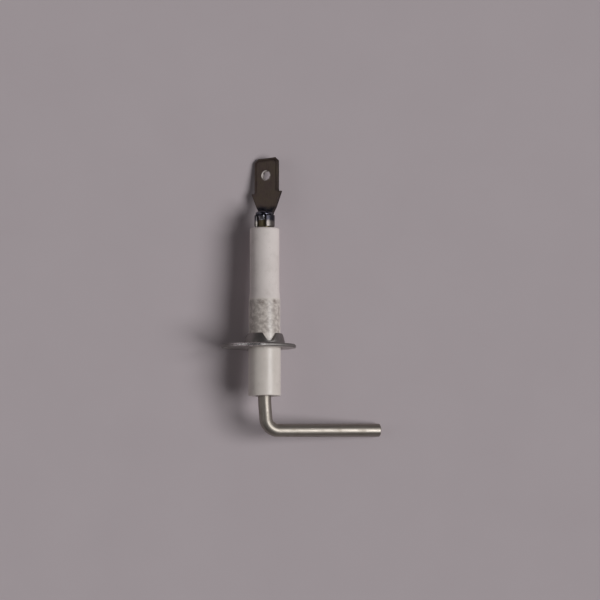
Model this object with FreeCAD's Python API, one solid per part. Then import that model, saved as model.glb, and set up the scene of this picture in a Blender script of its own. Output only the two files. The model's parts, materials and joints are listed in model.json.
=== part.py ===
"""Flame sensor probe: a bent metal rod in a ceramic tube, with a push-on flange and a tab terminal.

The probe is built upright. The tube's axis is Z, with the terminal at +Z and the burner end at -Z. X is the side that
the bent leg points to, and Y is the side that the probe lies down on. The origin is on the axis, in the plane of the
flange's seat. At the end every piece is laid down on a bench, as the loose probe rests: +Y runs from the seat to the
terminal, +X is the leg's side, and +Z is up.
"""
import FreeCAD, Part
import math
import os

V = FreeCAD.Vector
AXIS = V(0, 0, 1)

# Ceramic tube
BODY_D = 7.2            # stretch that the flange grips
NOSE_STEP = 0.1         # the burner end, which the bracket's hole fits, is thicker, per side
TOP_D = 6.8             # slimmer terminal end
NOSE_SHOULDER = 0.6     # length of the slope between the two, under the flange
NOSE_LENGTH = 11.0      # below the flange's seat
BODY_LENGTH = 10.8      # above the seat, up to the taper
TAPER_LENGTH = 2.4
TOP_LENGTH = 14.4
TOP_ROUND = 0.5
NOSE_CHAMFER = 0.2
BORE_CLEARANCE = 0.15   # rod to bore, per side
POCKET_WALL = 0.6       # cement round the rod, per side
POCKET_DEPTH = 2.2

# Cement rings
CEMENT_RECESS = 0.3     # below the tube's end face
CEMENT_LENGTH = 1.7
CEMENT_FIT = 0.02       # to the rod and to the pocket, per side

# Electrode rod
ROD_D = 3.0
ROD_SHORT = 0.15        # its end below the barrel's top
LEAN_START = 1.4        # below the tube, to the middle of the slight lean
LEAN_DEG = 4.7
LEAN_RADIUS = 25.0
LEG_DEPTH = 7.9         # below the tube, to the leg's centre line
LEG_RISE_DEG = 1.2      # the bend is this much tighter than square
LEG_REACH = 27.7        # tube axis to the leg's tip
BEND_RADIUS = 2.9       # to the rod's centre line
ROD_CHAMFER = 0.25

# Flange
FLANGE_D = 17.2
FLANGE_OFFSET = 1.4     # rim centre from the tube's axis, away from the leg
FLANGE_THICK = 0.8
RIM_ROUND = 0.35
COLLAR_HEIGHT = 3.3     # above the seat
COLLAR_FLARE_HEIGHT = 0.5
COLLAR_ROOT_WALL = 0.7
COLLAR_TIP_WALL = 0.43
COLLAR_CLEARANCE = 0.25  # hole to the ceramic, per side
COLLAR_GRIP = 0.02      # finger tips to the ceramic, per side
FINGERS = 3
NOTCH_WIDTH = 2.8       # at the finger tips
NOTCH_DEPTH = 2.0
NOTCH_DEG = -72.4       # first notch, from the X side

# Tab terminal
STRIP_THICK = 0.8
TAB_WIDTH = 6.3
TAB_LENGTH = 8.1        # from the stop shoulders to the tip
TAB_CORNER = 0.85
TAB_LEAD = 0.9          # sloped lead-in at the tip
TAB_LEAD_DEPTH = 0.22
TAB_HOLE_D = 2.0
TAB_HOLE_FROM_TIP = 4.1
SHOULDER_STEP = 0.75    # past the tab, per side
SHOULDER_RUN = 4.4      # from the neck to the shoulders
NECK_WIDTH = 4.3
NECK_ROOT_WIDTH = 3.2
NECK_RUN = 1.0          # between the barrel and the blade
BARREL_LIFT = 0.25      # above the tube's top end
BARREL_LENGTH = 2.65
BARREL_FIT = 0.02       # to the rod, per side
SEAM_DEG = 86.0
SEAM_TURN = 36.0        # the seam's middle, from the upper side away from the leg's side
BARREL_TURN = 15.0      # the strip's middle, from the lower side towards the leg's side
BLADE_TURN = 30.0
BLADE_TILT = 8.5        # towards the bench

# Weld nugget over the rod's end and the barrel's top
NUGGET_LIFT = 0.02      # above the barrel's top
NUGGET_CLEARANCE = 0.14  # to the neck
NUGGET_HEIGHT = 1.0
NUGGET_SIDE = 0.3       # height of its widest place
NUGGET_FOOT_ROUND = 0.15

# How the loose probe lies
LEG_TURN = 17.85        # the leg falls to the bench by this much
LIE_PITCH = 4.0         # the terminal end hangs this much

# Sizes that follow
BODY_R = BODY_D / 2
NOSE_R = BODY_R + NOSE_STEP
TOP_R = TOP_D / 2
ROD_R = ROD_D / 2
FLANGE_R = FLANGE_D / 2
TUBE_TOP = BODY_LENGTH + TAPER_LENGTH + TOP_LENGTH
BORE_R = ROD_R + BORE_CLEARANCE
POCKET_R = ROD_R + POCKET_WALL
HOLE_R = NOSE_R + COLLAR_CLEARANCE
BARREL_R = ROD_R + BARREL_FIT
BARREL_BOTTOM = TUBE_TOP + BARREL_LIFT
BARREL_TOP = BARREL_BOTTOM + BARREL_LENGTH
ROD_TOP = BARREL_TOP - ROD_SHORT
LEAN_Z = -NOSE_LENGTH - LEAN_START
LEG_Z = -NOSE_LENGTH - LEG_DEPTH
STRIP_MIDDLE = BARREL_R + STRIP_THICK / 2


def turned(outline):
    """The solid that an outline of edges in the XZ plane sweeps round the axis."""
    return Part.Face(Part.Wire(outline)).revolve(V(0, 0, 0), AXIS, 360)


def lines(points):
    """The straight edges that join (radius, height) points in order."""
    ends = [V(r, 0, z) for r, z in points]
    return [Part.LineSegment(a, b).toShape() for a, b in zip(ends, ends[1:])]


def ring(inner, outer, bottom, height):
    tube = Part.makeCylinder(outer, height, V(0, 0, bottom), AXIS)
    return tube.cut(Part.makeCylinder(inner, height, V(0, 0, bottom), AXIS))


def plate(points, thickness):
    """A flat plate from (x, z) corners, with its middle plane at y = 0."""
    corners = [V(x, -thickness / 2, z) for x, z in points]
    return Part.Face(Part.makePolygon(corners + corners[:1])).extrude(V(0, thickness, 0))


def ceramic_insulator():
    """A stepped tube with a bore for the rod and a cement pocket at each end."""
    below = -NOSE_LENGTH
    taper = BODY_LENGTH + TAPER_LENGTH
    round_start = V(TOP_R, 0, TUBE_TOP - TOP_ROUND)
    round_end = V(TOP_R - TOP_ROUND, 0, TUBE_TOP)
    slope = TOP_ROUND * (1 - math.sqrt(0.5))
    round_middle = V(TOP_R - slope, 0, TUBE_TOP - slope)
    outside = lines([
        (POCKET_R, below),
        (NOSE_R - NOSE_CHAMFER, below),
        (NOSE_R, below + NOSE_CHAMFER),
        (NOSE_R, 0),
        (BODY_R, NOSE_SHOULDER),
        (BODY_R, BODY_LENGTH),
        (TOP_R, taper),
        (TOP_R, TUBE_TOP - TOP_ROUND),
    ])
    inside = lines([
        (TOP_R - TOP_ROUND, TUBE_TOP),
        (POCKET_R, TUBE_TOP),
        (POCKET_R, TUBE_TOP - POCKET_DEPTH),
        (BORE_R, TUBE_TOP - POCKET_DEPTH),
        (BORE_R, below + POCKET_DEPTH),
        (POCKET_R, below + POCKET_DEPTH),
        (POCKET_R, below),
    ])
    rounded = Part.Arc(round_start, round_middle, round_end).toShape()
    return turned(outside + [rounded] + inside)


def cement_ring(bottom):
    return ring(ROD_R + CEMENT_FIT, POCKET_R - CEMENT_FIT, bottom, CEMENT_LENGTH)


def upper_cement():
    return cement_ring(TUBE_TOP - CEMENT_RECESS - CEMENT_LENGTH)


def lower_cement():
    return cement_ring(CEMENT_RECESS - NOSE_LENGTH)


def rounded_path(points, radii):
    """A wire of straight runs through the points, with an arc of its own radius at each inner point."""
    edges = []
    start = points[0]
    for before, corner, after, radius in zip(points, points[1:], points[2:], radii):
        back = (before - corner).normalize()
        ahead = (after - corner).normalize()
        half = back.getAngle(ahead) / 2
        reach = radius / math.tan(half)
        middle = (back + ahead).normalize() * (radius / math.sin(half) - radius)
        edges.append(Part.LineSegment(start, corner + back * reach).toShape())
        arc = Part.Arc(corner + back * reach, corner + middle, corner + ahead * reach)
        edges.append(arc.toShape())
        start = corner + ahead * reach
    edges.append(Part.LineSegment(start, points[-1]).toShape())
    return Part.Wire(edges)


def electrode_rod():
    """One length of wire: straight through the tube, a slight lean below it, then the bend and the leg."""
    lean = math.tan(math.radians(LEAN_DEG))
    rise = math.tan(math.radians(LEG_RISE_DEG))
    corner_x = (LEAN_Z - LEG_Z) * lean / (1 + lean * rise)
    points = [
        V(0, 0, ROD_TOP),
        V(0, 0, LEAN_Z),
        V(corner_x, 0, LEG_Z + corner_x * rise),
        V(LEG_REACH, 0, LEG_Z + LEG_REACH * rise),
    ]
    path = rounded_path(points, [LEAN_RADIUS, BEND_RADIUS])
    section = Part.Wire(Part.Circle(points[0], AXIS, ROD_R).toShape())
    rod = path.makePipeShell([section], True, False)
    ends = [e for e in rod.Edges if e.isClosed() and end_circle(e, points)]
    rod = rod.makeChamfer(ROD_CHAMFER, ends)
    rod.rotate(V(0, 0, 0), AXIS, LEG_TURN)
    return rod


def end_circle(edge, points):
    middle = edge.CenterOfMass
    return min(middle.distanceToPoint(points[0]), middle.distanceToPoint(points[-1])) < ROD_R / 10


def flange_notch():
    """The V between two fingers, cut outwards on the X side."""
    half = NOTCH_WIDTH / 2
    over = COLLAR_HEIGHT + NOTCH_DEPTH * 0.5
    spread = half * 1.5
    root = COLLAR_HEIGHT - NOTCH_DEPTH
    corners = [V(0, 0, root), V(0, spread, over), V(0, -spread, over), V(0, 0, root)]
    return Part.Face(Part.makePolygon(corners)).extrude(V(FLANGE_R, 0, 0))


def mounting_flange():
    """A stamped disc, off centre on the tube, with a drawn collar whose fingers grip the ceramic."""
    disc = Part.makeCylinder(FLANGE_R, FLANGE_THICK, V(-FLANGE_OFFSET, 0, 0), AXIS)
    rim_round = min(RIM_ROUND, FLANGE_THICK * 0.45)
    disc = disc.makeFillet(rim_round, [e for e in disc.Edges if e.isClosed()])
    grip_r = BODY_R + COLLAR_GRIP
    root_r = HOLE_R + COLLAR_ROOT_WALL
    flare_r = root_r + COLLAR_FLARE_HEIGHT
    entry = COLLAR_FLARE_HEIGHT / 2
    hole = Part.makeCylinder(HOLE_R + entry, FLANGE_THICK, V(0, 0, 0), AXIS)
    collar = turned(lines([
        (HOLE_R + entry, 0),
        (flare_r, 0),
        (flare_r, FLANGE_THICK),
        (root_r, FLANGE_THICK + COLLAR_FLARE_HEIGHT),
        (grip_r + COLLAR_TIP_WALL, COLLAR_HEIGHT),
        (grip_r, COLLAR_HEIGHT),
        (HOLE_R, entry),
        (HOLE_R + entry, 0),
    ]))
    for finger in range(FINGERS):
        notch = flange_notch()
        notch.rotate(V(0, 0, 0), AXIS, NOTCH_DEG + 360 * finger / FINGERS)
        collar = collar.cut(notch)
    return disc.cut(hole).fuse(collar).removeSplitter()


def tab_blade():
    """The flat blade, standing on its neck at z = 0, with its lead-in and its locking hole."""
    tip = SHOULDER_RUN + TAB_LENGTH
    half = TAB_WIDTH / 2
    right = [
        (NECK_WIDTH / 2, 0),
        (half + SHOULDER_STEP, SHOULDER_RUN),
        (half, SHOULDER_RUN),
        (half, tip - TAB_CORNER),
        (half - TAB_CORNER, tip),
    ]
    left = [(-x, z) for x, z in reversed(right)]
    blade = plate(right + left, STRIP_THICK)
    face = STRIP_THICK / 2
    for side in (-1, 1):
        slope = [
            V(-half, side * face, tip - TAB_LEAD),
            V(-half, side * (face - TAB_LEAD_DEPTH), tip),
            V(-half, side * face, tip),
        ]
        wedge = Part.Face(Part.makePolygon(slope + slope[:1])).extrude(V(TAB_WIDTH, 0, 0))
        blade = blade.cut(wedge)
    hole_z = tip - TAB_HOLE_FROM_TIP
    hole = Part.makeCylinder(TAB_HOLE_D / 2, STRIP_THICK, V(0, -face, hole_z), V(0, 1, 0))
    return blade.cut(hole)


def place_blade(shape):
    """Turns and tilts a shape from the blade's own frame into the probe's."""
    turn = math.radians(BARREL_TURN)
    shape.rotate(V(0, 0, 0), AXIS, -BLADE_TURN)
    shape.rotate(V(0, 0, 0), V(1, 0, 0), -BLADE_TILT)
    shape.translate(V(STRIP_MIDDLE * math.sin(turn), STRIP_MIDDLE * math.cos(turn), BARREL_TOP + NECK_RUN))
    return shape


def cross_section(width, y, z):
    """A rectangle of strip across the Z direction."""
    low = y - STRIP_THICK / 2
    high = y + STRIP_THICK / 2
    half = width / 2
    return Part.makePolygon([V(-half, low, z), V(half, low, z), V(half, high, z), V(-half, high, z), V(-half, low, z)])


def skin_between(low, high):
    """A solid between two four-cornered outlines, with each side creased along a diagonal so that it stays flat."""
    near = [corner.Point for corner in low.OrderedVertexes]
    far = [corner.Point for corner in high.OrderedVertexes]
    faces = [Part.Face(low), Part.Face(high)]
    for i in range(4):
        j = (i + 1) % 4
        faces.append(Part.Face(Part.makePolygon([near[i], near[j], far[j], near[i]])))
        faces.append(Part.Face(Part.makePolygon([near[i], far[j], far[i], near[i]])))
    return Part.makeSolid(Part.makeShell(faces))


def terminal_tab():
    """One stamping: a barrel crimped round the rod's end, a twisted neck and the blade."""
    wall = lines([
        (BARREL_R, BARREL_BOTTOM),
        (BARREL_R + STRIP_THICK, BARREL_BOTTOM),
        (BARREL_R + STRIP_THICK, BARREL_TOP),
        (BARREL_R, BARREL_TOP),
        (BARREL_R, BARREL_BOTTOM),
    ])
    barrel = Part.Face(Part.Wire(wall)).revolve(V(0, 0, 0), AXIS, 360 - SEAM_DEG)
    barrel.rotate(V(0, 0, 0), AXIS, SEAM_DEG / 2 - 90 - SEAM_TURN)
    root = cross_section(NECK_ROOT_WIDTH, STRIP_MIDDLE, BARREL_TOP - NECK_RUN)
    root.rotate(V(0, 0, 0), AXIS, -BARREL_TURN)
    end = place_blade(cross_section(NECK_WIDTH, 0, 0))
    bore = Part.makeCylinder(BARREL_R, NECK_RUN * 2, V(0, 0, BARREL_TOP - NECK_RUN), AXIS)
    neck = skin_between(root, end).cut(bore)
    return place_blade(tab_blade()).fuse([neck, barrel])


def weld_nugget():
    """A domed bead on the rod's end that spreads over the barrel's top, on the side away from the neck."""
    radius = STRIP_MIDDLE
    foot = BARREL_TOP + NUGGET_LIFT
    widest = foot + NUGGET_SIDE
    top = foot + NUGGET_HEIGHT
    rise = top - widest
    dome_r = (radius ** 2 + rise ** 2) / (2 * rise)
    blank = turned(lines([
        (0, foot),
        (radius - NUGGET_FOOT_ROUND, foot),
        (radius, widest),
        (radius, top),
        (0, top),
        (0, foot),
    ]))
    dome = blank.common(Part.makeSphere(dome_r, V(0, 0, top - dome_r)))
    away = STRIP_THICK / 2 + NUGGET_CLEARANCE
    turn = math.radians(BARREL_TURN)
    dome.translate(V(-away * math.sin(turn), -away * math.cos(turn), 0))
    stem = Part.makeCylinder(ROD_R - ROD_CHAMFER, foot - ROD_TOP, V(0, 0, ROD_TOP), AXIS)
    return dome.fuse(stem).removeSplitter()


def laid_down(shape):
    """From the upright probe to the bench: the tube's axis falls to lie along +Y, with the terminal end a little low."""
    shape.rotate(V(0, 0, 0), V(1, 0, 0), -(90 + LIE_PITCH))
    return shape


PIECES = [
    ceramic_insulator,
    electrode_rod,
    upper_cement,
    lower_cement,
    mounting_flange,
    terminal_tab,
    weld_nugget,
]

os.makedirs("parts", exist_ok=True)
for piece in PIECES:
    solid = laid_down(piece())
    solid.exportStep(f"parts/{piece.__name__}.step")
    box = solid.BoundBox
    print(
        f"{piece.__name__}: {len(solid.Solids)} solid, valid {solid.isValid()}, {solid.Volume:.1f} mm3,"
        f" x {box.XMin:.2f} {box.XMax:.2f}, y {box.YMin:.2f} {box.YMax:.2f}, z {box.ZMin:.2f} {box.ZMax:.2f}"
    )
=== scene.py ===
"""Looks of a flame sensor probe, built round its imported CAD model.

The pieces are built upright, as the probe stands on its burner end: Z is the tube's axis with the
terminal at +Z, X is the bent leg's side, and Y is the side that the probe lies down on. LAY turns
them into the CAD model's frame. Lengths are in millimetres until a mesh is made, and the named
angles are in degrees. Each vertex keeps its upright place as "upright", which the materials read.
"""
import json
import math

import bmesh
import bpy
import numpy as np
from mathutils import Matrix, Vector, noise


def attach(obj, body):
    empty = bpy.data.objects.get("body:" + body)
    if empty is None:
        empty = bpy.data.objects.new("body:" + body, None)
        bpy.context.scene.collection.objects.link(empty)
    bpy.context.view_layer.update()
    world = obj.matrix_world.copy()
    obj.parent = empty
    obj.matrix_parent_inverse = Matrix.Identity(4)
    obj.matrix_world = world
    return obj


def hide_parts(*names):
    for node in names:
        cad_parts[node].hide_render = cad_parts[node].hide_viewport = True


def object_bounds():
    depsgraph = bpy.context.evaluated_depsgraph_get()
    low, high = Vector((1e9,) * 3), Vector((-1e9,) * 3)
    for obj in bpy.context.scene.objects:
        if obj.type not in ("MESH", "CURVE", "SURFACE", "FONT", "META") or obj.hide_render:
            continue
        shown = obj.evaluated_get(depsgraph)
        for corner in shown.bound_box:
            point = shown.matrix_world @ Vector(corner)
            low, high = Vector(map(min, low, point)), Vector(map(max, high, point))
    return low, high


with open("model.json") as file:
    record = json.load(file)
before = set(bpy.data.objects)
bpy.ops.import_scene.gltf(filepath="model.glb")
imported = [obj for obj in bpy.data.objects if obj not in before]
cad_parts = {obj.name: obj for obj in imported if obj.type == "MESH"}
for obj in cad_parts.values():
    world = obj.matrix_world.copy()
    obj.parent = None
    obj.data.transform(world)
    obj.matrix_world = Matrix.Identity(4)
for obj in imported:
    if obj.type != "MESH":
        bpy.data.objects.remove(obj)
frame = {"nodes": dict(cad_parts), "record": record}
cad_low, cad_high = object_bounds()

MM = 0.001
SEAT = next(m for m in frame["record"]["mounts"] if m["name"] == "flange_seat")
LAY = Matrix.Rotation(math.atan2(SEAT["axis"][1], -SEAT["axis"][2]), 4, "X")


# ---------------------------------------------------------------- sizes from the CAD model


def upright(node):
    """A CAD node's vertices in the upright frame."""
    back = LAY.inverted()
    return np.array([back @ v.co for v in frame["nodes"][node].data.vertices]) / MM


def reach(points):
    """The largest distance from the tube's axis."""
    return np.hypot(points[:, 0], points[:, 1]).max()


tube_points = upright("ceramic_insulator")
rod_points = upright("electrode_rod")
flange_points = upright("mounting_flange")
tab_points = upright("terminal_tab")
bead_points = upright("weld_nugget")
cement_points = upright("upper_cement")

TUBE_LOW = tube_points[:, 2].min()
TUBE_TOP = tube_points[:, 2].max()
NOSE_R = reach(tube_points)
TOP_R = reach(tube_points[tube_points[:, 2] > TUBE_TOP - 1])
ROD_TOP = rod_points[:, 2].max()
ROD_R = reach(rod_points[rod_points[:, 2] > 0])
POCKET_R = reach(cement_points)
CEMENT_TOP = cement_points[:, 2].max()
CEMENT_LENGTH = np.ptp(cement_points[:, 2])
FLANGE_R = np.ptp(flange_points[:, 0]) / 2
FLANGE_X = (flange_points[:, 0].max() + flange_points[:, 0].min()) / 2
COLLAR_TOP = flange_points[:, 2].max()
BARREL_BOTTOM = tab_points[:, 2].min()
BARREL_OUT = reach(tab_points[tab_points[:, 2] < BARREL_BOTTOM + 0.1])
BEAD_TOP = bead_points[:, 2].max()
FLOOR = cad_low.z

# Ceramic tube
NOSE_STEP = 0.1             # how much the nose stands proud of the body
BODY_R = NOSE_R - NOSE_STEP
NOSE_SHOULDER = 0.6
TAPER_START = 10.8
TAPER_END = 13.2
TOP_ROUND = 0.5
NOSE_ROUND = 0.22
EASE = 0.02                 # how far the corners of a cone on the tube are eased in
POCKET_DEPTH = 2.2
POCKET_CHAMFER = 0.12
BORE_GAP = 0.15
BORE_R = ROD_R + BORE_GAP
GLAZE_TOP = 11.3
GLAZE_THICK = 0.03
PRINT_ROWS = [  # height of the row's middle, half its own height, how dark the ink still is
    (10.40, 0.90, 0.80),
    (8.85, 0.27, 0.42),
    (6.90, 0.27, 0.38),
    (5.35, 0.27, 0.36),
    (4.00, 0.25, 0.32),
]
PRINT_FACING = -90          # the side of the tube that the print is on

# Cement
CEMENT_GAP = 0.01           # between a plug and the rod
CEMENT_BITE = 0.01          # how far a plug reaches into the pocket's wall
CEMENT_INSET = 0.05         # how far a plug's face lies in from its CAD node's
CEMENT_SINK = 0.12          # how much further its middle sinks
CEMENT_LUMPS = 0.06

# Rod
LEAN_START = 1.4            # below the tube's lower end
LEAN_DEG = 4.7
LEAN_RADIUS = 25.0
LEG_RISE_DEG = 1.2          # the leg's slope, up towards its end
BEND_RADIUS = 2.9
ROD_CHAMFER = 0.25
CAP_DOME = 0.05             # how far the sheared ends are domed

# Flange
FLANGE_THICK = 0.8
RIM_ROUND = 0.36
FLANGE_HOLE_GAP = 0.25
FLANGE_HOLE_R = NOSE_R + FLANGE_HOLE_GAP
COLLAR_ROOT_WALL = 0.7
COLLAR_TIP_WALL = 0.43
COLLAR_TIP_ROUND = 0.1
COLLAR_GRIP_GAP = 0.02
COLLAR_GRIP_R = BODY_R + COLLAR_GRIP_GAP
FLARE = 0.5                 # radius of the fillet from the disc up into the collar
FINGERS = 3
NOTCH_DEG = -72.4           # where the first notch is round the tube
NOTCH_HALF_DEG = 24.0       # half a notch's width at the fingers' tips
NOTCH_FLOOR_DEG = 6.0       # half its width at its floor
NOTCH_DEPTH = 2.0
NOTCH_FLOOR = 0.2           # the least wall that a notch leaves above the fillet

# Tab terminal. On the flat strip u is measured across it and v along it.
STRIP_THICK = 0.8
STRIP_R = BARREL_OUT - STRIP_THICK / 2      # middle of the strip in the barrel
BARREL_LENGTH = 2.65
NECK_LENGTH = 1.0
SHOULDER_LENGTH = 4.4
BLADE_LENGTH = 8.1
BARREL_TOP = BARREL_BOTTOM + BARREL_LENGTH
FOOT = BARREL_TOP + NECK_LENGTH             # the neck's upper end
SHOULDER = FOOT + SHOULDER_LENGTH
TIP = SHOULDER + BLADE_LENGTH
TAB_HOLE_FROM_TIP = 4.1
TAB_HOLE_V = TIP - TAB_HOLE_FROM_TIP
TAB_HOLE_R = 1.0
TAB_HALF = 3.15
TAB_CORNER = 0.85
SHOULDER_STEP = 0.75
SHOULDER_HALF = TAB_HALF + SHOULDER_STEP
NECK_HALF = 2.15
ROOT_HALF = 1.6
FORM_LENGTH = 1.9           # over which the barrel's curve runs out into the flat blade
BARREL_TURN = 15.0          # the strip's middle, from the lower side towards the leg's side
BLADE_TURN = 30.0           # the blade's outer face, the same way
BLADE_TILT = 8.5            # the blade, towards the lower side
SEAM_DEG = 86.0             # how wide the barrel's open seam is
SEAM_TURN = 36.0            # its middle, from the upper side towards the side away from the leg
SEAM_FACING = 270 - SEAM_TURN               # the side that the seam is on
SEAM_ROUND = SEAM_FACING - 90 + BARREL_TURN     # from the strip's middle round to the seam's
WING_RIGHT = math.radians(360 - SEAM_DEG / 2 - SEAM_ROUND) * STRIP_R
WING_LEFT = math.radians(SEAM_ROUND - SEAM_DEG / 2) * STRIP_R
ROLLED_CORNER = 0.12        # radius of the strip's sheared corners

# What stamping leaves on the strip: (height or depth, width) of each feature
COIN = (0.16, 0.55)         # the blade's bevelled edges
COIN_GROOVE = (0.05, 0.09)  # the line along the bevel's inner side
LEAD_IN = (0.16, 0.9)       # the thinned tip
HOLE_BURR = (0.09, 0.1)
HOLE_DIP = (0.05, 0.25)
WING_BEVEL = (0.14, 0.7)

# Weld bead
DOME_WAIST = 0.42           # how far above the rod's end the dome is widest
DOME_LIP = 0.15             # radius of the dome's lower edge
STEM_LENGTH = 1.25
STEM_GAP = 0.02             # how much thinner the stem is than the rod around it
SEAM_RUN = (0.42, 0.75)     # how far the weld runs out into the seam, and over what height

# Stage and camera
FLOOR_HALF = 12.0           # metres
FIELD_WIDTH = 137.3         # what the camera sees from side to side
CAMERA_HEIGHT = 3500
CAMERA_X = 8.1
CAMERA_Y = 11.0
HORIZON_COLOUR = (0.33, 0.295, 0.305, 1)
OVERHEAD_COLOUR = (0.060, 0.058, 0.059, 1)
HORIZON_RISE = (0.05, 0.13)     # heights, on a sphere of radius 1, between which the sky darkens


# ---------------------------------------------------------------- mesh making


def arc(centre, radius, start, end, steps):
    """(radius, height) points of a profile on an arc."""
    turn = np.radians(np.linspace(start, end, steps + 1))
    return [(centre[0] + radius * math.cos(a), centre[1] + radius * math.sin(a)) for a in turn]


def filled(profile, step):
    """The closed profile with points added where two are more than a step apart."""
    made = []
    for a, b in zip(profile, profile[1:] + profile[:1]):
        parts = max(1, math.ceil(math.dist(a, b) / step))
        made += [tuple(np.array(a) + (np.array(b) - np.array(a)) * i / parts) for i in range(parts)]
    return made


def ring(radius, height, turn):
    """Points round the tube's axis. Radius and height are numbers, or arrays as long as turn."""
    return np.stack([radius * np.cos(turn), radius * np.sin(turn), height + 0 * turn], axis=1)


def skin(rows, loop=False):
    """Points and faces over rows, each a closed ring of points or the one point of a pole."""
    starts = np.cumsum([0] + [len(row) for row in rows])
    pairs = [(a, a + 1) for a in range(len(rows) - 1)]
    if loop:
        pairs.append((len(rows) - 1, 0))
    faces = []
    for a, b in pairs:
        sides = max(len(rows[a]), len(rows[b]))
        for i in range(sides):
            j = (i + 1) % sides
            corners = [(a, i), (a, j), (b, j), (b, i)]
            faces.append(list(dict.fromkeys(int(starts[r] + k % len(rows[r])) for r, k in corners)))
    return np.vstack(rows), faces


def waver(points, per_mm, seed):
    """Smooth noise from -1 to 1 at each point."""
    shift = Vector((seed * 17.3, seed * 5.1, seed * 9.7))
    return np.array([noise.noise(Vector(p) * per_mm + shift) for p in points])


def make_piece(name, points, faces, material, node, sharp=38, numbers=None):
    """An object from upright points in millimetres. It stands for a CAD node and rides on its body.

    Faces that meet at more than the sharp angle keep a hard edge. Numbers are values or vectors for
    each point, which the material reads by name.
    """
    mesh = bpy.data.meshes.new(name)
    mesh.from_pydata((points * MM).tolist(), [], faces)
    mesh.transform(LAY)
    shape = bmesh.new()
    shape.from_mesh(mesh)
    bmesh.ops.recalc_face_normals(shape, faces=shape.faces)
    shape.to_mesh(mesh)
    shape.free()
    mesh.shade_smooth()
    mesh.set_sharp_from_angle(angle=math.radians(sharp))
    for key, values in {"upright": points, **(numbers or {})}.items():
        kind, field = ("FLOAT_VECTOR", "vector") if np.ndim(values) == 2 else ("FLOAT", "value")
        attribute = mesh.attributes.new(key, kind, "POINT")
        attribute.data.foreach_set(field, np.asarray(values, np.float32).ravel())
    mesh.materials.append(material)
    made = bpy.data.objects.new(name, mesh)
    bpy.context.scene.collection.objects.link(made)
    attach(made, "root")
    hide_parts(node)
    return made


# ---------------------------------------------------------------- material making


class Shader:
    """One material's nodes. Its place is in millimetres in the upright frame."""

    def __init__(self, name):
        self.material = bpy.data.materials.new(name)
        self.material.use_nodes = True
        self.tree = self.material.node_tree
        self.surface = self.tree.nodes["Principled BSDF"]
        self.place = self.add("Attribute", attribute_name="upright").outputs["Vector"]
        split = self.add("SeparateXYZ", {0: self.place})
        self.x, self.y, self.z = split.outputs

    def add(self, kind, inputs=None, **settings):
        """A new node with its settings, and its inputs joined to sockets or set to values."""
        made = self.tree.nodes.new("ShaderNode" + kind)
        for key, value in settings.items():
            setattr(made, key, value)
        for key, value in (inputs or {}).items():
            self.join(made.inputs[key], value)
        return made

    def join(self, socket, value):
        if isinstance(value, bpy.types.NodeSocket):
            self.tree.links.new(value, socket)
        elif isinstance(value, tuple) and socket.type == "RGBA":
            socket.default_value = (*value, 1)
        else:
            socket.default_value = value

    def finish(self, **values):
        """The material, with the surface's inputs joined or set."""
        for key, value in values.items():
            self.join(self.surface.inputs[key.replace("_", " ")], value)
        return self.material

    def math(self, operation, a, b=0.0):
        return self.add("Math", {0: a, 1: b}, operation=operation).outputs[0]

    def product(self, *factors):
        made = factors[0]
        for factor in factors[1:]:
            made = self.math("MULTIPLY", made, factor)
        return made

    def rise(self, value, start, end, low=0.0, high=1.0):
        """A smooth step from low to high as the value goes from start to end."""
        inputs = {"Value": value, "From Min": start, "From Max": end, "To Min": low, "To Max": high}
        return self.add("MapRange", inputs, interpolation_type="SMOOTHSTEP").outputs["Result"]

    def stretch(self, scale, place=None):
        """The place with each axis scaled by its own number."""
        inputs = {0: place or self.place, 1: scale}
        return self.add("VectorMath", inputs, operation="MULTIPLY").outputs[0]

    def noise(self, per_mm, detail=2.0, place=None, rough=0.5, twist=0.0):
        inputs = {"Vector": place or self.place, "Scale": per_mm, "Detail": detail}
        inputs.update({"Roughness": rough, "Distortion": twist})
        return self.add("TexNoise", inputs).outputs["Fac"]

    def spots(self, per_mm, size, place=None):
        """1 in the middle of scattered round spots, 0 away from them."""
        made = self.add("TexVoronoi", {"Vector": place or self.place, "Scale": per_mm})
        return self.rise(made.outputs["Distance"], size, size * 0.4)

    def number(self, name):
        """A piece's own value at each point."""
        return self.add("Attribute", attribute_name=name).outputs["Fac"]

    def mix(self, factor, a, b):
        """A colour from a to b. A Mix node's colours are its inputs 6 and 7 and its output 2."""
        return self.add("Mix", {0: factor, 6: a, 7: b}, data_type="RGBA").outputs[2]

    def blend(self, factor, a, b):
        """A number from a to b. A Mix node's numbers are its inputs 2 and 3 and its output 0."""
        return self.add("Mix", {0: factor, 2: a, 3: b}, data_type="FLOAT").outputs[0]

    def bump(self, height, depth):
        """Relief of a depth in millimetres, for a height from 0 to 1."""
        inputs = {"Height": height, "Distance": depth * MM, "Strength": 1.0}
        return self.add("Bump", inputs).outputs["Normal"]


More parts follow.
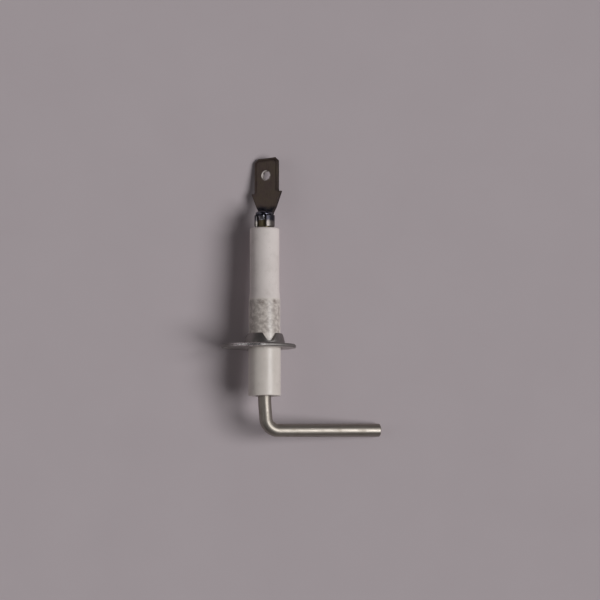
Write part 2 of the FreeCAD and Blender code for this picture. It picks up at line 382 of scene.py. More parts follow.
def printed_rows(s):
    """How much ink is left on one side of the tube: soft worn rows over a smudged band, no letters."""
    turn = s.math("ARCTAN2", s.y, s.x)
    facing = s.math("COSINE", s.math("SUBTRACT", turn, math.radians(PRINT_FACING)))
    ink = 0.0
    for n, (height, half, dark) in enumerate(PRINT_ROWS):
        off = s.math("ABSOLUTE", s.math("SUBTRACT", s.z, height))
        row = s.rise(off, half, half * 0.3)
        along = s.add("CombineXYZ", {0: turn, 1: float(n), 2: 0.0}).outputs[0]
        blocks = s.rise(s.noise(1.3 + 0.7 * n, 1.0, along), 0.34, 0.56)
        ink = s.math("ADD", ink, s.product(row, blocks, dark))
    wear = s.rise(s.noise(1.2, 2.0), 0.22, 0.66)
    top_row = PRINT_ROWS[0][0]
    band = s.product(s.rise(s.z, top_row + 0.6, top_row + 0.2), s.rise(s.z, 3.0, 3.5))
    smudge = s.product(s.rise(s.noise(1.15, 2.0), 0.34, 0.66, 0.12, 0.58), band)
    inked = s.math("MAXIMUM", s.product(ink, wear), smudge)
    return s.product(inked, s.rise(facing, 0.05, 0.45))


def ceramic_material():
    """Off-white ceramic, matte above and glazed below, with grime, rubbed metal, specks and print."""
    s = Shader("fired_ceramic")
    wave = s.noise(0.5, 2.0)
    edge = s.math("ADD", GLAZE_TOP - 0.25, s.product(wave, 0.5))
    glaze = s.rise(s.math("SUBTRACT", edge, s.z), -0.12, 0.12)
    cloud = s.rise(s.noise(0.22, 3.0), 0.3, 0.7)
    colour = s.mix(cloud, (0.69, 0.625, 0.60), (0.745, 0.678, 0.652))
    glazed = s.mix(cloud, (0.675, 0.616, 0.568), (0.729, 0.667, 0.618))
    colour = s.mix(glaze, colour, glazed)
    grime = s.product(s.rise(s.noise(0.55, 6.0, rough=0.62), 0.50, 0.78), 0.35)
    colour = s.mix(grime, colour, (0.50, 0.45, 0.41))
    streaks = s.rise(s.noise(1.6, 5.0, s.stretch((1.0, 1.0, 0.25))), 0.55, 0.75)
    near_collar = s.product(s.rise(s.z, 6.5, 3.2), s.rise(s.z, -1.5, 1.0))
    colour = s.mix(s.product(streaks, near_collar, 0.5), colour, (0.33, 0.30, 0.28))
    colour = s.mix(s.product(s.spots(0.55, 0.055), 0.55), colour, (0.16, 0.12, 0.09))
    colour = s.mix(printed_rows(s), colour, (0.20, 0.158, 0.142))
    grain = s.noise(7.0, 3.0, rough=0.65)
    smear = s.rise(s.noise(0.9, 4.0), 0.35, 0.75)
    matte = s.blend(grain, 0.62, 0.78)
    gloss = s.blend(smear, 0.30, 0.45)
    rough = s.blend(glaze, matte, gloss)
    turning = s.noise(1.0, 2.0, s.stretch((0.15, 0.15, 4.5)))
    turned = s.math("ADD", s.product(grain, 0.7), s.product(turning, 0.6))
    relief = s.blend(glaze, turned, s.product(s.noise(0.9, 2.0), 0.8))
    pits = s.product(s.spots(1.3, 0.09), s.blend(glaze, 1.0, 0.5))
    normal = s.bump(s.math("SUBTRACT", relief, pits), 0.02)
    return s.finish(Base_Color=colour, Roughness=rough, Normal=normal, IOR=1.52)


def cement_material():
    """Coarse brown-grey cement with dark grains."""
    s = Shader("potting_cement")
    grain = s.noise(5.0, 5.0, rough=0.7)
    colour = s.mix(s.rise(grain, 0.3, 0.7), (0.33, 0.29, 0.25), (0.58, 0.53, 0.47))
    colour = s.mix(s.product(s.spots(2.2, 0.2), 0.7), colour, (0.2, 0.17, 0.15))
    normal = s.bump(grain, 0.08)
    return s.finish(Base_Color=colour, Roughness=s.blend(grain, 0.8, 0.95), Normal=normal)


def wire_material():
    """Drawn heat-resisting wire: streaks along it, a scorched end at the weld."""
    s = Shader("drawn_wire")
    wire = s.add("Attribute", attribute_name="wire").outputs["Vector"]
    along = s.add("SeparateXYZ", {0: wire}).outputs[2]
    streaks = s.noise(1.0, 4.0, s.stretch((5.0, 5.0, 0.09), wire), 0.6)
    fine = s.noise(1.0, 3.0, s.stretch((16.0, 16.0, 0.35), wire), 0.6)
    cloud = s.noise(0.45, 4.0, wire)
    colour = s.mix(s.rise(streaks, 0.3, 0.7), (0.28, 0.252, 0.222), (0.40, 0.366, 0.328))
    colour = s.mix(s.product(s.rise(cloud, 0.5, 0.75), 0.5), colour, (0.22, 0.192, 0.158))
    scorch = s.math("ADD", along, s.product(s.math("SUBTRACT", cloud, 0.5), 1.5))
    colour = s.mix(s.rise(scorch, 4.6, 3.2), colour, (0.17, 0.14, 0.085))
    rough = s.blend(s.rise(cloud, 0.35, 0.7), 0.41, 0.50)
    rough = s.blend(s.rise(fine, 0.3, 0.8), rough, 0.54)
    height = s.math("ADD", s.product(streaks, 0.6), s.product(fine, 0.5))
    dents = s.spots(0.7, 0.12, s.stretch((1.0, 1.0, 0.5), wire))
    normal = s.bump(s.math("SUBTRACT", height, dents), 0.012)
    return s.finish(Base_Color=colour, Metallic=1.0, Roughness=rough, Normal=normal)


def flange_material():
    """Stamped plated steel: a blotchy satin face, dull on the rim and the drawn collar.

    The rim carries a painted highlight, pale and smooth, on the side away from the leg.
    """
    s = Shader("plated_stamping")
    edge = s.number("edge")
    cloud = s.noise(0.5, 5.0)
    grain = s.noise(6.0, 4.0, rough=0.65)
    colour = s.mix(s.rise(cloud, 0.3, 0.7), (0.36, 0.335, 0.32), (0.52, 0.49, 0.475))
    blotches = s.rise(s.noise(1.4, 6.0, rough=0.6), 0.52, 0.7)
    colour = s.mix(s.product(blotches, 0.6), colour, (0.22, 0.20, 0.185))
    colour = s.mix(s.product(edge, 0.8), colour, (0.20, 0.186, 0.18))
    # Painted highlight: the rim's colour is made pale and its surface smooth on the side away from the leg.
    painted_highlight_side = s.product(s.rise(s.x, 1.0, -1.5), s.rise(s.x, -8.5, -6.0))
    wear = s.product(edge, s.rise(s.noise(2.0, 4.0), 0.25, 0.55), painted_highlight_side)
    colour = s.mix(wear, colour, (0.86, 0.82, 0.81))
    drawn = s.product(s.rise(s.z, FLANGE_THICK, FLANGE_THICK + FLARE), s.blend(cloud, 1.0, 0.75))
    colour = s.mix(drawn, colour, s.mix(cloud, (0.17, 0.155, 0.15), (0.30, 0.28, 0.27)))
    rough = s.blend(s.rise(cloud, 0.3, 0.7), 0.42, 0.30)
    rough = s.blend(edge, s.blend(grain, rough, 0.5), 0.60)
    # smooth where the rim's highlight is painted
    rough = s.blend(wear, rough, 0.22)
    scratches = s.noise(1.0, 3.0, s.stretch((0.7, 9.0, 2.0)), 0.6, 0.4)
    height = s.math("ADD", s.product(grain, 0.6), s.product(scratches, 0.5))
    normal = s.bump(height, 0.018)
    return s.finish(Base_Color=colour, Metallic=1.0, Roughness=rough, Normal=normal)


def tab_material():
    """Tarnished strip: bare low on the barrel, blued by the weld at the neck, brown on the blade.

    The hole's burr is painted pale as a highlight.
    """
    s = Shader("tarnished_strip")
    edge = s.number("edge")
    cloud = s.noise(0.6, 5.0, rough=0.6)
    streaks = s.noise(1.0, 4.0, s.stretch((3.5, 3.5, 0.35)), 0.6)
    brown = s.mix(s.rise(cloud, 0.3, 0.7), (0.150, 0.110, 0.102), (0.195, 0.155, 0.120))
    brown = s.mix(s.product(s.rise(streaks, 0.5, 0.75), 0.5), brown, (0.100, 0.073, 0.070))
    heat = s.math("ADD", s.z, s.product(s.math("SUBTRACT", cloud, 0.5), 1.4))
    navy = s.mix(s.rise(streaks, 0.3, 0.7), (0.022, 0.022, 0.031), (0.048, 0.047, 0.058))
    bare = s.mix(s.rise(cloud, 0.3, 0.7), (0.13, 0.118, 0.112), (0.21, 0.19, 0.18))
    colour = s.mix(s.rise(heat, FOOT + 0.4, FOOT + 1.6), navy, brown)
    colour = s.mix(s.rise(heat, BARREL_TOP - 1.0, BARREL_TOP - 1.7), colour, bare)
    # Painted shade: a near-black line along the crease at the inner side of the blade's bevel.
    colour = s.mix(s.product(s.number("painted_crease_shade"), 0.75), colour, (0.035, 0.027, 0.025))
    wear = s.product(edge, s.rise(s.noise(2.5, 4.0), 0.42, 0.62), 0.3)
    colour = s.mix(wear, colour, (0.26, 0.225, 0.205))
    # Painted shade: the strip's edges from the neck up are made near black and rough.
    painted_edge_shade = s.product(edge, s.rise(s.z, BARREL_TOP, FOOT), 0.88)
    colour = s.mix(painted_edge_shade, colour, (0.045, 0.036, 0.034))
    # Painted highlight: the burr round the hole is made pale and matte.
    ring = s.product(s.number("painted_burr_glint"), s.rise(s.noise(1.6, 3.0), 0.25, 0.55), 0.9)
    colour = s.mix(ring, colour, (0.74, 0.68, 0.65))
    grain = s.noise(8.0, 3.0, rough=0.6)
    rough = s.blend(s.rise(cloud, 0.35, 0.7), 0.40, 0.58)
    rough = s.blend(s.rise(s.z, BARREL_TOP + 0.2, BARREL_TOP - 0.6), rough, 0.40)
    rough = s.blend(painted_edge_shade, rough, 0.75)
    scratches = s.noise(1.0, 3.0, s.stretch((11.0, 11.0, 0.8)), 0.6, 0.3)
    relief = s.math("ADD", s.product(grain, 0.6), s.product(scratches, 0.6))
    normal = s.bump(relief, 0.014)
    metal = s.blend(ring, 1.0, 0.2)     # matte where the burr's highlight is painted pale, so it shows in any light
    return s.finish(Base_Color=colour, Metallic=metal, Roughness=rough, Normal=normal)


def bead_material():
    """Blue-black weld scale with a glassy skin, and a painted highlight, pale, in the run below the rod's
    end.
    """
    s = Shader("weld_scale")
    cloud = s.noise(1.3, 5.0, rough=0.6)
    colour = s.mix(s.rise(cloud, 0.35, 0.65), (0.035, 0.037, 0.052), (0.12, 0.12, 0.15))
    colour = s.mix(s.product(s.spots(1.6, 0.16), 0.6), colour, (0.35, 0.33, 0.32))
    # Painted highlight: the weld's lower part, in the run below the rod's end, is made pale.
    colour = s.mix(s.rise(s.z, ROD_TOP + 0.1, ROD_TOP - 0.4), colour, (0.34, 0.34, 0.37))
    rough = s.blend(cloud, 0.18, 0.42)
    normal = s.bump(s.noise(4.0, 4.0), 0.03)
    return s.finish(Base_Color=colour, Metallic=1.0, Roughness=rough, Normal=normal)


# ---------------------------------------------------------------- pieces


def eased_cone(wide, narrow, start, end, before, inside):
    """The cone between a wide and a narrow cylinder on a profile, its two corners eased."""
    return [
        (wide, start - before),
        (wide - EASE, start + inside),
        (narrow + EASE, end - inside),
        (narrow, end + before),
    ]


def ceramic_tube():
    """One turned skin: the nose, taper and round top outside, and the pockets and bore inside."""
    outside = [
        (POCKET_R + POCKET_CHAMFER, TUBE_LOW),
        *arc((NOSE_R - NOSE_ROUND, TUBE_LOW + NOSE_ROUND), NOSE_ROUND, -90, 0, 6),
        *eased_cone(NOSE_R, BODY_R, 0.0, NOSE_SHOULDER, before=0.1, inside=0.05),
        *eased_cone(BODY_R, TOP_R, TAPER_START, TAPER_END, before=0.4, inside=0.25),
        *arc((TOP_R - TOP_ROUND, TUBE_TOP - TOP_ROUND), TOP_ROUND, 0, 90, 8),
    ]
    inside = [
        (POCKET_R + POCKET_CHAMFER, TUBE_TOP),
        (POCKET_R + POCKET_CHAMFER / 4, TUBE_TOP - POCKET_CHAMFER / 4),
        (POCKET_R, TUBE_TOP - POCKET_CHAMFER),
        (POCKET_R, TUBE_TOP - POCKET_DEPTH),
        (BORE_R, TUBE_TOP - POCKET_DEPTH),
        (BORE_R, TUBE_LOW + POCKET_DEPTH),
        (POCKET_R, TUBE_LOW + POCKET_DEPTH),
        (POCKET_R, TUBE_LOW + POCKET_CHAMFER),
        (POCKET_R + POCKET_CHAMFER / 4, TUBE_LOW + POCKET_CHAMFER / 4),
    ]
    turn = np.linspace(0, 2 * math.pi, 144, endpoint=False)
    rows = []
    for radius, height in filled(outside + inside, 0.35):
        row = ring(radius, height, turn)
        if radius > POCKET_R + 0.2:     # only the outside is a little uneven and glazed
            sway = 0.012 * np.cos(2 * turn + 0.4) + 0.02 * waver(row, 0.22, 1)
            lip = GLAZE_TOP - 0.1 + 0.2 * np.sin(turn * 3 + 1) * np.cos(turn) - height
            glaze = GLAZE_THICK * np.clip(lip / 0.3, 0, 1)
            row = ring(radius + sway + glaze - GLAZE_THICK, height, turn)
        rows.append(row)
    points, faces = skin(rows, loop=True)
    material = ceramic_material()
    make_piece("ceramic_tube", points, faces, material, "ceramic_insulator", sharp=50)


def cement_plug(name, node, face, inward):
    """A ring of cement whose outer face is uneven and sinks a little between the walls."""
    turn = np.linspace(0, 2 * math.pi, 96, endpoint=False)
    inner = ROD_R + CEMENT_GAP
    outer = POCKET_R + CEMENT_BITE
    rows = []
    for share in np.linspace(0, 1, 9):
        row = ring(inner + (outer - inner) * share, face, turn)
        sunk = CEMENT_SINK * math.sin(math.pi * share) + CEMENT_LUMPS * waver(row, 2.4, 3)
        row[:, 2] += inward * (sunk + CEMENT_INSET)
        rows.append(row)
    back = face + inward * CEMENT_LENGTH
    rows += [ring(outer, back, turn), ring(inner, back, turn)]
    points, faces = skin(rows, loop=True)
    make_piece(name, points, faces, CEMENT, node)


def rounded_route(corners, radii, step):
    """Points and directions along straight runs joined by arcs, in the rod's (across, height) plane."""
    corners = [np.array(c, float) for c in corners]
    places, ways = [], []

    def straight(a, b):
        count = max(2, math.ceil(np.linalg.norm(b - a) / step))
        for share in np.arange(count) / count:
            places.append(a + (b - a) * share)
            ways.append((b - a) / np.linalg.norm(b - a))

    start = corners[0]
    for before, corner, after, radius in zip(corners, corners[1:], corners[2:], radii):
        into = (corner - before) / np.linalg.norm(corner - before)
        out = (after - corner) / np.linalg.norm(after - corner)
        bend = math.acos(np.clip(into @ out, -1, 1))
        side = np.array([-into[1], into[0]]) * math.copysign(1, into[0] * out[1] - into[1] * out[0])
        trim = radius * math.tan(bend / 2)
        begin = corner - into * trim
        straight(start, begin)
        for share in np.linspace(0, 1, max(4, math.ceil(math.degrees(bend) / 3)), endpoint=False):
            turn = bend * share
            places.append(begin + radius * (into * math.sin(turn) + side * (1 - math.cos(turn))))
            ways.append(into * math.cos(turn) + side * math.sin(turn))
        start = corner + out * trim
    straight(start, corners[-1])
    places.append(corners[-1])
    ways.append(ways[-1])
    return np.array(places), np.array(ways)


def bent_rod():
    """One wire: straight through the tube, leaning a little below it, then bent out into the leg."""
    level = np.hypot(rod_points[:, 0], rod_points[:, 1])
    end = rod_points[level > level.max() - ROD_CHAMFER / 2].mean(axis=0)
    facing = math.atan2(end[1], end[0])
    leg_reach = math.hypot(end[0], end[1])
    rise = math.tan(math.radians(LEG_RISE_DEG))
    lean = math.tan(math.radians(LEAN_DEG))
    lean_z = TUBE_LOW - LEAN_START
    leg_z = end[2] - leg_reach * rise
    corner = (lean_z - leg_z) * lean / (1 + lean * rise)
    bend = (corner, leg_z + corner * rise)
    leg_end = (leg_reach, leg_z + leg_reach * rise)
    places, ways = rounded_route([(0, ROD_TOP), (0, lean_z), bend, leg_end], [LEAN_RADIUS, BEND_RADIUS], 0.5)
    length = np.concatenate([[0], np.cumsum(np.linalg.norm(np.diff(places, axis=0), axis=1))])
    turn = np.linspace(0, 2 * math.pi, 72, endpoint=False)
    across = np.array([math.cos(facing), math.sin(facing), 0])
    square = np.array([-math.sin(facing), math.cos(facing), 0])
    rows, wire = [], []

    def station(place, way, radius, along):
        """A ring round the wire's middle, square to its way."""
        centre = across * place[0] + np.array([0, 0, place[1]])
        side = across * way[1] - np.array([0, 0, way[0]])
        rows.append(centre + radius * (np.outer(np.cos(turn), side) + np.outer(np.sin(turn), square)))
        wire.append(ring(radius, along, turn))

    def cap(place, way, along, sign):
        """A sheared end, with a slightly domed face and a rolled corner. Sign is -1 at the start."""
        flat_r = ROD_R - ROD_CHAMFER
        profile = [(radius, CAP_DOME * (radius / ROD_R) ** 2) for radius in np.linspace(0.1, flat_r, 7)]
        for a in np.radians(np.linspace(15, 90, 6)):
            inset = CAP_DOME + ROD_CHAMFER * (1 - math.cos(a))
            profile.append((flat_r + ROD_CHAMFER * math.sin(a), inset))
        for radius, inset in profile if sign < 0 else reversed(profile):
            station(place - sign * way * inset, way, radius, along - sign * inset)

    start_row = across * places[0][0] + np.array([0, 0, places[0][1]])
    rows.append(start_row[None, :])
    wire.append(np.array([[0, 0, 0.0]]))
    cap(places[0], ways[0], 0.0, -1)
    inner = (length > ROD_CHAMFER * 1.5) & (length < length[-1] - ROD_CHAMFER * 1.5)
    for place, way, along in zip(places[inner], ways[inner], length[inner]):
        station(place, way, ROD_R, along)
    cap(places[-1], ways[-1], length[-1], 1)
    rows.append((across * places[-1][0] + np.array([0, 0, places[-1][1]]))[None, :])
    wire.append(np.array([[0, 0, length[-1]]]))
    points, faces = skin(rows)
    points = points + 0.004 * waver(points, 0.5, 4)[:, None]
    numbers = {"wire": np.vstack(wire)}
    make_piece("bent_rod", points, faces, wire_material(), "electrode_rod", numbers=numbers)


def push_on_flange():
    """The stamped disc with its drawn collar, which ends in three fingers that bite on the ceramic."""
    turn = np.radians(np.arange(0, 360, 1.0))
    period = 360 / FINGERS
    off = (np.degrees(turn) - NOTCH_DEG + period / 2) % period - period / 2
    notch = np.clip((NOTCH_HALF_DEG - np.abs(off)) / (NOTCH_HALF_DEG - NOTCH_FLOOR_DEG), 0, 1)
    tip = np.maximum(COLLAR_TOP - NOTCH_DEPTH * notch, FLANGE_THICK + FLARE + NOTCH_FLOOR)
    root_r = FLANGE_HOLE_R + COLLAR_ROOT_WALL
    flare_r = root_r + FLARE
    entry = FLARE / 2
    rows, edge = [], []

    def row(points, worn):
        rows.append(points)
        edge.append(worn + 0 * turn)

    def disc(radius, height, worn=0.0):
        """A ring on the disc: it follows the collar near the tube and the rim further out."""
        share = np.clip((radius - flare_r) / (FLANGE_R - flare_r), 0, 1)
        made = ring(radius, height, turn)
        made[:, 0] += FLANGE_X * share
        made[:, 2] += 0.02 * waver(made, 0.35, 6) * share
        row(made, worn)

    face_r = FLANGE_R - RIM_ROUND
    for radius in np.linspace(FLANGE_HOLE_R + entry + 0.05, face_r, 14):
        disc(radius, 0.0)
    for a in np.radians(np.linspace(-78, 0, 6)):
        disc(face_r + RIM_ROUND * math.cos(a), RIM_ROUND + RIM_ROUND * math.sin(a), 0.9)
    for a in np.radians(np.linspace(0, 78, 6)):
        disc(face_r + RIM_ROUND * math.cos(a), FLANGE_THICK - RIM_ROUND + RIM_ROUND * math.sin(a), 1.0)
    for radius in np.linspace(face_r, flare_r, 14):
        disc(radius, FLANGE_THICK)
    for a in np.radians(np.linspace(15, 90, 6)):
        row(ring(flare_r - FLARE * math.sin(a), FLANGE_THICK + FLARE * (1 - math.cos(a)), turn), 0.1)

    def wall(share, inset):
        """Radius and height of the collar's outside, from its root at share 0 to its tip at 1."""
        low = FLANGE_THICK + FLARE
        height = low + (tip - inset - low) * share
        taper = (height - low) / (COLLAR_TOP - low)
        radius = root_r + (COLLAR_GRIP_R + COLLAR_TIP_WALL - root_r) * taper ** 1.3
        return radius, height

    def bore(height):
        """Radius of the collar's inside."""
        taper = np.clip((height - entry) / (COLLAR_TOP - entry), 0, 1)
        return FLANGE_HOLE_R + (COLLAR_GRIP_R - FLANGE_HOLE_R) * taper

    for share in np.linspace(0.15, 1, 9):
        radius, height = wall(share, COLLAR_TIP_ROUND)
        row(ring(radius, height, turn), 0.15 + 0.6 * (share > 0.9))
    radius, height = wall(1.0, COLLAR_TIP_ROUND)
    inner = bore(height)
    middle = (radius + inner) / 2
    half = (radius - inner) / 2
    for a in np.radians(np.linspace(20, 160, 7)):
        row(ring(middle + half * math.cos(a), height + COLLAR_TIP_ROUND * math.sin(a), turn), 0.8)
    for share in np.linspace(1, 0, 8):
        level = entry + (height - entry) * share
        row(ring(bore(level), level, turn), 0.0)
    for a in np.radians(np.linspace(20, 90, 4)):
        row(ring(FLANGE_HOLE_R + entry * (1 - math.cos(a)), entry * (1 - math.sin(a)), turn), 0.2)
    points, faces = skin(rows, loop=True)
    material = flange_material()
    numbers = {"edge": np.concatenate(edge)}
    make_piece("push_on_flange", points, faces, material, "mounting_flange", 40, numbers)


EDGE_STEPS = (0.03, 0.07, 0.12, 0.18, 0.28, 0.42)       # how far in from an edge its points lie
HOLE_STEPS = (0, 0.03, 0.07, 0.12, 0.18, 0.26)          # how far out from the hole its rings lie
EAR_STEPS = (0, 0.25, 0.45, 0.62, 0.76, 0.86, 0.93, 0.97, 1)     # shares of a shoulder's width


def graded(start, end, step, near_start=False, near_end=False):
    """Values from start to end about a step apart, and closer together near the ends asked for."""
    low = start + (EDGE_STEPS[-1] if near_start else 0)
    high = end - (EDGE_STEPS[-1] if near_end else 0)
    made = list(np.linspace(low, high, max(2, math.ceil((high - low) / step) + 1)))
    if near_start:
        made = [start, *(start + e for e in EDGE_STEPS[:-1])] + made
    if near_end:
        made = made + [*(end - e for e in reversed(EDGE_STEPS[:-1])), end]
    return made


def half_width(v, shoulders=True):
    """Half the flat strip's width at v, with or without the shoulders, and without the wings."""
    if v <= BARREL_TOP:
        return ROOT_HALF
    if v <= FOOT:
        return ROOT_HALF + (NECK_HALF - ROOT_HALF) * (v - BARREL_TOP) / (FOOT - BARREL_TOP)
    if v <= SHOULDER:
        wide = SHOULDER_HALF if shoulders else TAB_HALF
        return NECK_HALF + (wide - NECK_HALF) * (v - FOOT) / (SHOULDER - FOOT)
    return TAB_HALF - max(0.0, v - (TIP - TAB_CORNER))


def flat_blank():
    """The strip before it is formed: (u, v) points, and faces that all turn the same way."""
    cells = 32
    hole_cells = 8
    hole_box = hole_cells * (TAB_HALF - EDGE_STEPS[-1]) * 2 / cells
    bands = [
        graded(BARREL_BOTTOM, BARREL_TOP, 0.2, near_start=True, near_end=True),
        graded(BARREL_TOP, FOOT, 0.12),
        graded(FOOT, SHOULDER, 0.2, near_end=True),
        graded(SHOULDER, TAB_HOLE_V - hole_box, 0.2),
        list(np.linspace(TAB_HOLE_V - hole_box, TAB_HOLE_V + hole_box, hole_cells * 2 + 1)),
        graded(TAB_HOLE_V + hole_box, TIP - TAB_CORNER, 0.2),
        graded(TIP - TAB_CORNER, TIP, 0.12, near_end=True),
    ]
    levels = [bands[0][0]] + [v for band in bands for v in band[1:]]
    ends = {1: WING_RIGHT, -1: WING_LEFT}
    wings = {side: graded(ROOT_HALF, end, 0.2, near_end=True) for side, end in ends.items()}
    points, faces, known = [], [], {}

    def vertex(u, v):
        """The number of the point at (u, v), which is made once."""
        key = (round(u, 6), round(v, 6))
        if key not in known:
            known[key] = len(points)
            points.append((u, v))
        return known[key]

    def core(v):
        """The points across the strip at v, without shoulders or wings."""
        half = half_width(v, False)
        inner = half - EDGE_STEPS[-1]
        middle = np.linspace(-inner, inner, cells + 1)
        edge = [half - e for e in (0, *EDGE_STEPS[:-1])]
        return [-u for u in edge] + list(middle) + edge[::-1]

    def flank(v, side, winged):
        """The points across a wing or a shoulder at v."""
        if winged:
            return [side * u for u in wings[side]]
        low, high = half_width(v, False), half_width(v)
        return [side * (low + (high - low) * share) for share in EAR_STEPS]

    def cells_between(v0, v1, us0, us1, skip=()):
        """Faces between two levels, apart from the columns to skip."""
        for j in range(len(us0) - 1):
            if j in skip:
                continue
            corners = [(us0[j], v0), (us0[j + 1], v0), (us1[j + 1], v1), (us1[j], v1)]
            cell = list(dict.fromkeys(vertex(*corner) for corner in corners))
            if len(cell) > 2:
                faces.append(cell)

    first = len(EDGE_STEPS) + cells // 2 - hole_cells
    hole_columns = range(first, first + 2 * hole_cells)
    for v0, v1 in zip(levels, levels[1:]):
        middle = (v0 + v1) / 2
        in_hole = abs(middle - TAB_HOLE_V) < hole_box
        cells_between(v0, v1, core(v0), core(v1), hole_columns if in_hole else ())
        if middle < BARREL_TOP or FOOT < middle < SHOULDER:
            for side in (1, -1):
                us0 = flank(v0, side, middle < BARREL_TOP)
                us1 = flank(v1, side, middle < BARREL_TOP)
                if side < 0:
                    us0, us1 = us0[::-1], us1[::-1]
                cells_between(v0, v1, us0, us1)
    steps = np.linspace(-hole_box, hole_box, 2 * hole_cells + 1)
    box_loop = (
        [(u, -hole_box) for u in steps[:-1]]
        + [(hole_box, v) for v in steps[:-1]]
        + [(u, hole_box) for u in steps[:0:-1]]
        + [(-hole_box, v) for v in steps[:0:-1]]
    )
    loops = []
    for out in HOLE_STEPS:
        loops.append([tuple(np.array(p) / math.hypot(*p) * (TAB_HOLE_R + out)) for p in box_loop])
    loops.append([tuple((np.array(p) + np.array(q)) / 2) for p, q in zip(loops[-1], box_loop)])
    loops.append(box_loop)
    for near, far in zip(loops, loops[1:]):
        for i in range(len(near)):
            j = (i + 1) % len(near)
            faces.append([vertex(p[0], p[1] + TAB_HOLE_V) for p in (near[j], near[i], far[i], far[j])])
    return np.array(points), faces


def outline():
    """The blank's corners, one side after the other."""
    side = [
        (ROOT_HALF, BARREL_TOP),
        (NECK_HALF, FOOT),
        (SHOULDER_HALF, SHOULDER),
        (TAB_HALF, SHOULDER),
        (TAB_HALF, TIP - TAB_CORNER),
        (TAB_HALF - TAB_CORNER, TIP),
    ]
    right = [(WING_RIGHT, BARREL_BOTTOM), (WING_RIGHT, BARREL_TOP), *side]
    left = [(WING_LEFT, BARREL_BOTTOM), (WING_LEFT, BARREL_TOP), *side]
    return right + [(-u, v) for u, v in reversed(left)]


def edge_distance(points):
    """How far each point of the blank is from its outline or its hole."""
    corners = np.array(outline())
    best = np.abs(np.hypot(points[:, 0], points[:, 1] - TAB_HOLE_V) - TAB_HOLE_R)
    for a, b in zip(corners, np.roll(corners, -1, axis=0)):
        run = b - a
        share = np.clip((points - a) @ run / (run @ run), 0, 1)
        best = np.minimum(best, np.linalg.norm(points - a - share[:, None] * run, axis=1))
    return best


def formed(u, v, n):
    """Bends the strip: round the rod below the neck, and turned and tilted into a blade above it.

    n is how far a point is from the strip's middle, on the side away from the rod.
    """
    angle = math.radians(90 - BARREL_TURN) - u / STRIP_R
    wrapped = np.stack([(STRIP_R + n) * np.cos(angle), (STRIP_R + n) * np.sin(angle), v], axis=1)
    root = math.radians(BARREL_TURN)
    place = (
        Matrix.Translation((STRIP_R * math.sin(root), STRIP_R * math.cos(root), FOOT))
        @ Matrix.Rotation(math.radians(-BLADE_TILT), 4, "X")
        @ Matrix.Rotation(math.radians(-BLADE_TURN), 4, "Z")
    )
    flat = np.stack([u, n, v - FOOT], axis=1) @ np.array(place.to_3x3()).T + np.array(place.translation)
    share = np.clip((v - BARREL_TOP) / FORM_LENGTH, 0, 1)
    share = (share * share * (3 - 2 * share))[:, None]
    return wrapped * (1 - share) + flat * share


def bell(value, middle, width):
    """1 where the value is at the middle, falling away on both sides over the width."""
    return np.exp(-((value - middle) / width) ** 2)


def tab():
    """The terminal: stamped flat with coined edges and a pierced hole, then formed."""
    points, faces = flat_blank()
    u, v = points.T
    middle = np.stack([u, v, 0 * u], axis=1)
    off = edge_distance(points)
    around_hole = np.hypot(u, v - TAB_HOLE_V) - TAB_HOLE_R
    rolled = np.sqrt(np.maximum(ROLLED_CORNER ** 2 - (ROLLED_CORNER - off) ** 2, 0))
    roll = np.where(off < ROLLED_CORNER, ROLLED_CORNER - rolled, 0)
    on_tab = np.clip((v - SHOULDER) / 0.5, 0, 1) * (around_hole > off + 1e-6)
    coin = COIN[0] * np.clip(1 - off / COIN[1], 0, 1) * on_tab
    groove = COIN_GROOVE[0] * bell(off, COIN[1] + 0.03, COIN_GROOVE[1]) * on_tab
    lead = LEAD_IN[0] * np.clip(1 - (TIP - v) / LEAD_IN[1], 0, 1)
    burr = HOLE_BURR[0] * bell(around_hole, 0.17, HOLE_BURR[1])
    dip = HOLE_DIP[0] * bell(around_hole, 0.5, HOLE_DIP[1])
    wing_end = np.minimum(WING_RIGHT - u, WING_LEFT + u)
    wing = WING_BEVEL[0] * np.clip(1 - wing_end / WING_BEVEL[1], 0, 1) * (v <= BARREL_TOP)
    face = STRIP_THICK / 2 - roll - coin - lead
    wobble = 0.012 * waver(middle, 0.5, 8)
    upper = formed(u, v, face + wobble - dip)
    lower = formed(u, v, -(face - groove - wing) + wobble - burr)
    count = len(points)
    edges = {(cell[i], cell[(i + 1) % len(cell)]) for cell in faces for i in range(len(cell))}
    walls = sorted([b, a, a + count, b + count] for a, b in edges if (b, a) not in edges)
    under = [[i + count for i in reversed(cell)] for cell in faces]
    numbers = {
        "edge": np.tile(np.exp(-off / 0.12), 2),
        # where the burr's painted highlight goes
        "painted_burr_glint": np.tile(bell(around_hole, 0.08, 0.13), 2),
        # where the crease's painted shade goes
        "painted_crease_shade": np.tile(bell(off, COIN[1], 0.1) * on_tab, 2),
    }
    skin_points = np.vstack([upper, lower])
    skin_faces = faces + under + walls
    make_piece("tab", skin_points, skin_faces, tab_material(), "terminal_tab", 40, numbers)


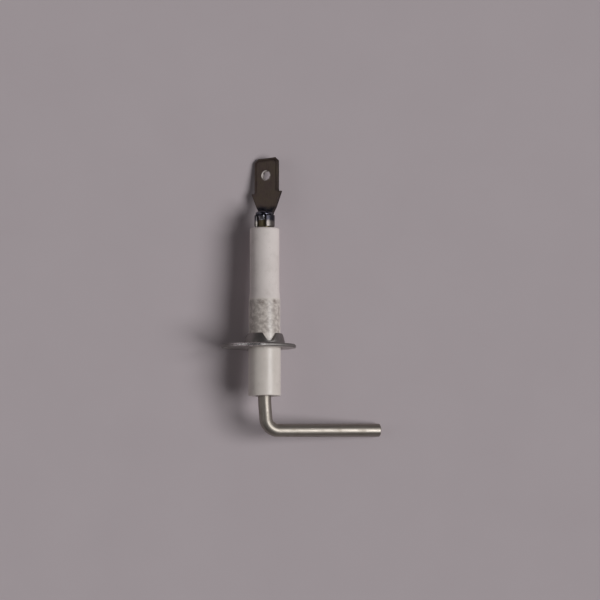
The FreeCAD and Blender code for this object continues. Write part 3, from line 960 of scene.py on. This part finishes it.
def weld_bead():
    """A lumpy dome over the rod's end and the barrel, with a run of weld down the barrel's seam.

    The stem under the dome is hidden in the barrel and the rod, apart from that run.
    """
    turn = np.linspace(0, 2 * math.pi, 120, endpoint=False)
    seam = np.cos(turn - math.radians(SEAM_FACING))
    dome_points = bead_points[bead_points[:, 2] < BEAD_TOP - 0.5]
    dome_points = dome_points[dome_points[:, 2] > BARREL_TOP]
    centre = (dome_points.max(axis=0) + dome_points.min(axis=0)) / 2
    dome_r = np.ptp(dome_points[:, 0]) / 2
    waist = ROD_TOP + DOME_WAIST
    low = BARREL_TOP - STEM_LENGTH
    stem_r = ROD_R - STEM_GAP
    profile = [(0.4, low), (stem_r * 0.8, low + 0.01), (stem_r, low + 0.05)]
    profile += [(stem_r, height) for height in np.linspace(low + 0.15, BARREL_TOP - 0.1, 10)]
    profile += arc((dome_r - DOME_LIP, waist - DOME_LIP), DOME_LIP, -90, 0, 4)
    profile += [
        (dome_r * math.cos(a) ** 0.8, waist + (BEAD_TOP - waist) * math.sin(a))
        for a in np.radians(np.linspace(6, 88, 18))
    ]
    rows = [np.array([[0, 0, low]])]
    for radius, height in profile:
        share = np.clip((height - BARREL_TOP + 0.1) / 0.2, 0, 1)
        row = ring(radius, height, turn)
        row[:, :2] += centre[:2] * share
        swell = 0.05 * waver(row, 1.1, 9) + 0.02 * waver(row, 3.0, 10)
        run = SEAM_RUN[0] * bell(height, BARREL_TOP, SEAM_RUN[1]) * np.clip((seam - 0.72) / 0.28, 0, 1)
        row[:, :2] *= (1 + (swell * share + run * (1 - share)) / max(radius, 0.3))[:, None]
        row[:, 2] += 0.05 * waver(row, 1.4, 11) * share * np.clip((BEAD_TOP - height) / 0.3, 0, 1)
        rows.append(row)
    rows.append(np.array([[centre[0], centre[1], BEAD_TOP]]))
    points, faces = skin(rows)
    make_piece("weld_bead", points, faces, bead_material(), "weld_nugget")


CEMENT = cement_material()
ceramic_tube()
cement_plug("cement_top", "upper_cement", CEMENT_TOP, -1)
cement_plug("cement_bottom", "lower_cement", TUBE_LOW + TUBE_TOP - CEMENT_TOP, 1)
bent_rod()
push_on_flange()
tab()
weld_bead()


# ---------------------------------------------------------------- stage, light and camera


def studio_floor():
    """A plain sheet of paper under the probe."""
    mesh = bpy.data.meshes.new("floor")
    corners = [(x * FLOOR_HALF, y * FLOOR_HALF, FLOOR) for x, y in ((-1, -1), (1, -1), (1, 1), (-1, 1))]
    mesh.from_pydata(corners, [], [(0, 1, 2, 3)])
    s = Shader("floor_paper")
    metres = s.add("TexCoord").outputs["Object"]
    colour = s.mix(s.noise(60.0, 3.0, metres), (0.50, 0.441, 0.463), (0.53, 0.471, 0.493))
    mesh.materials.append(s.finish(Base_Color=colour, Roughness=0.85, Specular_IOR_Level=0.2))
    floor = bpy.data.objects.new("floor", mesh)
    bpy.context.scene.collection.objects.link(floor)


def light(name, azimuth, elevation, strength, angle):
    """A soft sun with an angular width. Azimuth 0 is the +X side and 90 the +Y side."""
    data = bpy.data.lights.new(name, "SUN")
    data.energy = strength
    data.angle = math.radians(angle)
    lamp = bpy.data.objects.new(name, data)
    a, e = math.radians(azimuth), math.radians(elevation)
    way = Vector((math.cos(a) * math.cos(e), math.sin(a) * math.cos(e), math.sin(e)))
    lamp.rotation_mode = "QUATERNION"
    lamp.rotation_quaternion = way.to_track_quat("Z", "Y")
    bpy.context.scene.collection.objects.link(lamp)


def studio_world():
    """Plain grey surroundings: as bright as the lit floor at the horizon, and dark higher up."""
    world = bpy.data.worlds.new("studio")
    bpy.context.scene.world = world
    world.use_nodes = True
    tree = world.node_tree
    way = tree.nodes.new("ShaderNodeTexCoord")
    split = tree.nodes.new("ShaderNodeSeparateXYZ")
    ramp = tree.nodes.new("ShaderNodeMapRange")
    mix = tree.nodes.new("ShaderNodeMix")
    mix.data_type = "RGBA"
    mix.inputs[6].default_value = HORIZON_COLOUR
    mix.inputs[7].default_value = OVERHEAD_COLOUR
    ramp.inputs["From Min"].default_value = HORIZON_RISE[0]
    ramp.inputs["From Max"].default_value = HORIZON_RISE[1]
    tree.links.new(way.outputs["Generated"], split.inputs[0])
    tree.links.new(split.outputs["Z"], ramp.inputs["Value"])
    tree.links.new(ramp.outputs[0], mix.inputs[0])
    tree.links.new(mix.outputs[2], tree.nodes["Background"].inputs["Color"])


def overhead_camera():
    """A long lens that looks straight down on the probe, with the tube upright in the picture."""
    data = bpy.data.cameras.new("camera")
    field = FIELD_WIDTH * MM
    distance = CAMERA_HEIGHT * MM
    data.sensor_width = 36.0
    data.lens = data.sensor_width * distance / field
    data.clip_start = 0.01
    data.clip_end = 30
    camera = bpy.data.objects.new("camera", data)
    camera.location = (CAMERA_X * MM, CAMERA_Y * MM, distance)
    bpy.context.scene.collection.objects.link(camera)
    bpy.context.scene.camera = camera


studio_floor()
studio_world()
light("key_light", azimuth=-4, elevation=50.5, strength=2.05, angle=31)
light("fill_light", azimuth=176, elevation=40, strength=0.21, angle=40)
overhead_camera()
bpy.context.scene.view_settings.view_transform = "Standard"
